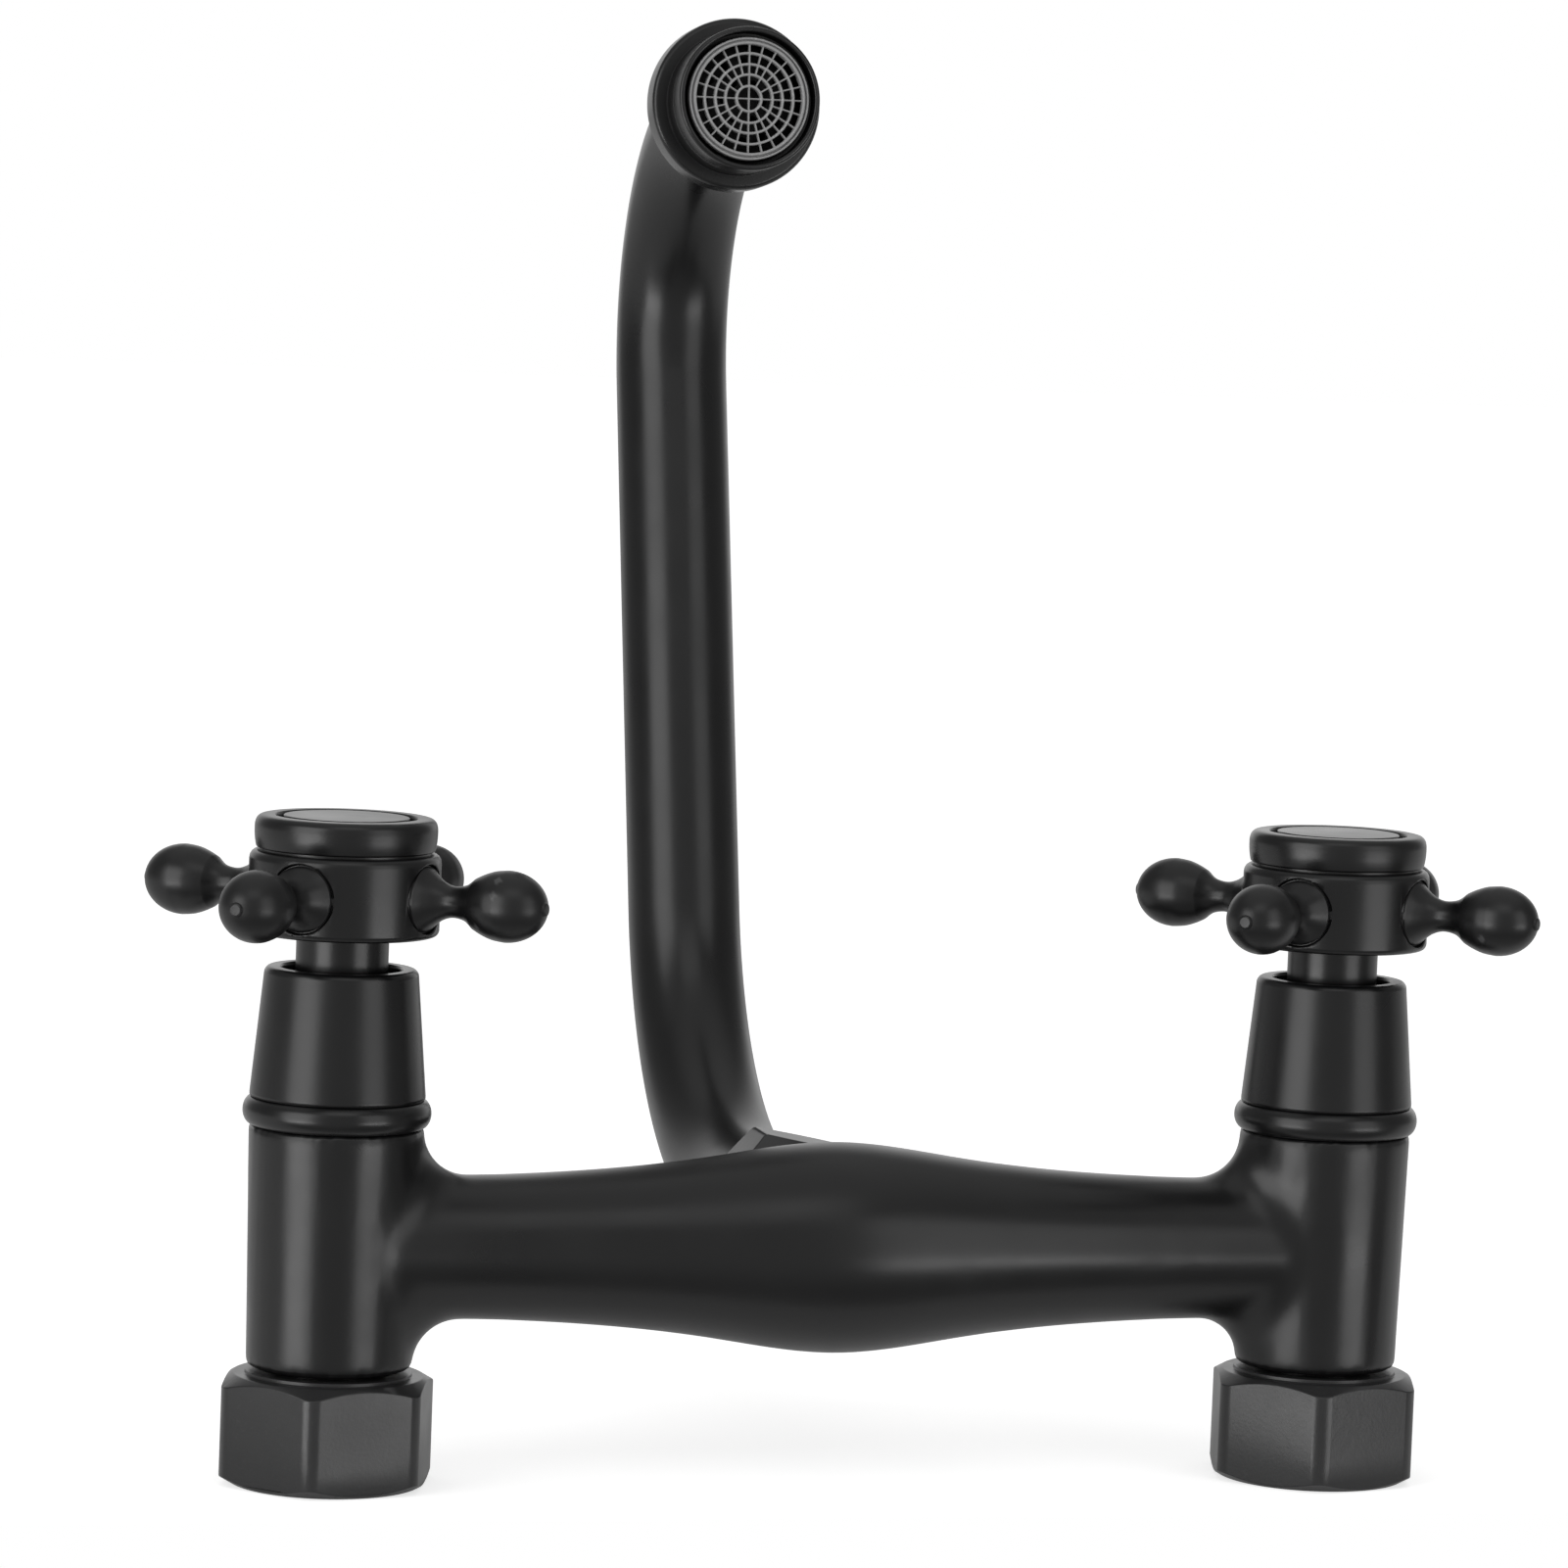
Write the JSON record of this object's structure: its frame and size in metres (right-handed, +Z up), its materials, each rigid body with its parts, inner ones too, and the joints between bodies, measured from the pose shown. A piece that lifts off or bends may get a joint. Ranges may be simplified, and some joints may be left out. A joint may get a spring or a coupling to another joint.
{
  "type": "wall mixer tap",
  "caption": "Wall mixer tap with cross handles on a swollen bridge body, a swivelling swan-neck spout with an aerator, and free-turning union nuts at its inlets.",
  "frame": {"origin": "midway between the two inlets, on the plane of the union nuts' wall side faces", "axes": "+X along the bridge from the left valve to the right, +Y into the wall, +Z up"},
  "size_m": [0.2016, 0.216, 0.1661],
  "materials": {
    "black_casting": "satin black coat on a casting",
    "black_tube": "satin black coat on drawn tube",
    "black_turned": "satin black coat on turned metal",
    "black_knob": "satin black coat, a little glossier",
    "black_nut": "matt black coat, fine grain",
    "bare_brass": "machined",
    "bare_steel": "plain",
    "black_rubber": "matt",
    "ceramic": "lapped",
    "white_plastic": "plain",
    "dark_plastic": "plain",
    "grille_grey": "satin"
  },
  "bodies": {
    "tap_body": {"body": "black_casting", "left_union_tail": "black_turned", "left_union_washer": "black_rubber", "left_trim_ring": "black_turned", "left_cover": "black_turned", "left_insert_body": "bare_brass", "left_insert_seal": "black_rubber", "left_seat_seal": "black_rubber", "left_fixed_disc": "ceramic", "right_union_tail": "black_turned", "right_union_washer": "black_rubber", "right_trim_ring": "black_turned", "right_cover": "black_turned", "right_insert_body": "bare_brass", "right_insert_seal": "black_rubber", "right_seat_seal": "black_rubber", "right_fixed_disc": "ceramic", "spout_nut": "black_nut", "spout_slip_ring": "white_plastic", "spout_seals": "black_rubber"},
    "left_handle": {"left_moving_disc": "ceramic", "left_spindle": "bare_brass", "left_spindle_seals": "black_rubber", "left_spindle_clip": "bare_steel", "left_handle_hub": "black_turned", "left_handle_arms": "black_knob", "left_handle_cap": "black_turned", "left_index_disc": "black_turned", "left_handle_screw": "bare_steel"},
    "right_handle": {"right_moving_disc": "ceramic", "right_spindle": "bare_brass", "right_spindle_seals": "black_rubber", "right_spindle_clip": "bare_steel", "right_handle_hub": "black_turned", "right_handle_arms": "black_knob", "right_handle_cap": "black_turned", "right_index_disc": "black_turned", "right_handle_screw": "bare_steel"},
    "spout": {"spout_split_ring": "white_plastic", "spout_tube": "black_tube", "outlet_collar": "black_turned", "aerator_housing": "black_turned", "aerator_insert": "dark_plastic", "aerator_seal": "black_rubber", "aerator_grille": "grille_grey"},
    "left_nut": {"left_union_nut": "black_nut"},
    "right_nut": {"right_union_nut": "black_nut"}
  },
  "joints": [
    {"name": "spout_swivel", "type": "hinge", "parent": "tap_body", "child": "spout", "pos_m": [0, -0.0344, 0], "axis": [0, 0, 1], "range_deg": [-90, 90]},
    {"name": "left_handle_turn", "type": "hinge", "parent": "tap_body", "child": "left_handle", "pos_m": [-0.075, 0, 0], "axis": [0, -1, 0], "range_deg": [0, 90]},
    {"name": "right_handle_turn", "type": "hinge", "parent": "tap_body", "child": "right_handle", "pos_m": [0.075, 0, 0], "axis": [0, -1, 0], "range_deg": [-90, 0]},
    {"name": "left_nut_turn", "type": "hinge", "parent": "tap_body", "child": "left_nut", "pos_m": [-0.075, 0, 0], "axis": [0, 1, 0], "continuous": true},
    {"name": "right_nut_turn", "type": "hinge", "parent": "tap_body", "child": "right_nut", "pos_m": [0.075, 0, 0], "axis": [0, 1, 0], "continuous": true}
  ]
}
